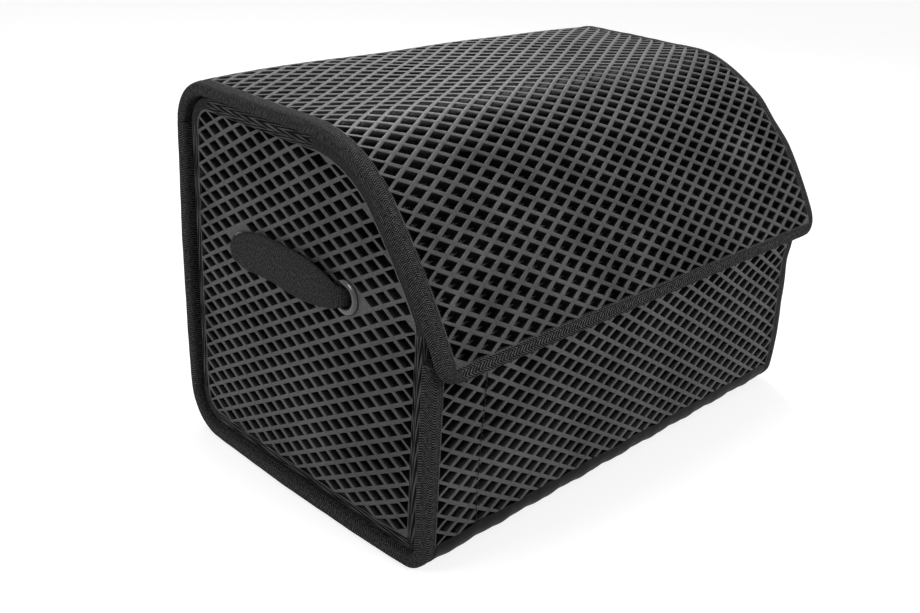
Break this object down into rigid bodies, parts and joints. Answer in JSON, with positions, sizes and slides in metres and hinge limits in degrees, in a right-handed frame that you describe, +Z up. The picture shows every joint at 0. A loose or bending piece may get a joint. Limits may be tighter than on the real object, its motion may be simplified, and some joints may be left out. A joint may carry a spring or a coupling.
{
  "type": "car trunk organizer",
  "caption": "Foldable foam box for a car's luggage space, with diamond-cell walls, a wrap-over hinged lid, taped edges and a strap handle at each end.",
  "frame": {"origin": "under the middle of the closed box, handles and lid included, on the surface that it stands on", "axes": "+X towards the right-hand end as seen from the front, +Y from the front wall towards the hinged back wall, +Z up"},
  "size_m": [0.5078, 0.3272, 0.322],
  "materials": {
    "foam_sheet": "matt black closed-cell foam, pressed with diamond cells",
    "binding_tape": "black twill tape, stitched along its edge",
    "strap_webbing": "black woven strap",
    "eyelet_metal": "gloss black enamel on pressed brass",
    "washer_metal": "satin black"
  },
  "bodies": {
    "box": {"base_wrap": "foam_sheet", "front_panel": "foam_sheet", "right_end_panel": "foam_sheet", "left_end_panel": "foam_sheet", "front_rim_binding": "binding_tape", "back_rim_binding": "binding_tape", "front_seam_tape": "binding_tape", "hinge_tape": "binding_tape", "right_body_binding": "binding_tape", "left_body_binding": "binding_tape", "right_end_binding": "binding_tape", "left_end_binding": "binding_tape", "right_handle": "strap_webbing", "left_handle": "strap_webbing", "divider_loop_strip": "strap_webbing", "right_front_eyelet": "eyelet_metal", "right_front_washer": "washer_metal", "right_rear_eyelet": "eyelet_metal", "right_rear_washer": "washer_metal", "left_front_eyelet": "eyelet_metal", "left_front_washer": "washer_metal", "left_rear_eyelet": "eyelet_metal", "left_rear_washer": "washer_metal"},
    "lid": {"lid_sheet": "foam_sheet", "lid_binding": "binding_tape"}
  },
  "joints": [
    {"name": "lid_hinge", "type": "hinge", "parent": "box", "child": "lid", "pos_m": [0, 0.16365, 0.284], "axis": [-1, 0, 0], "range_deg": [0, 170]}
  ]
}
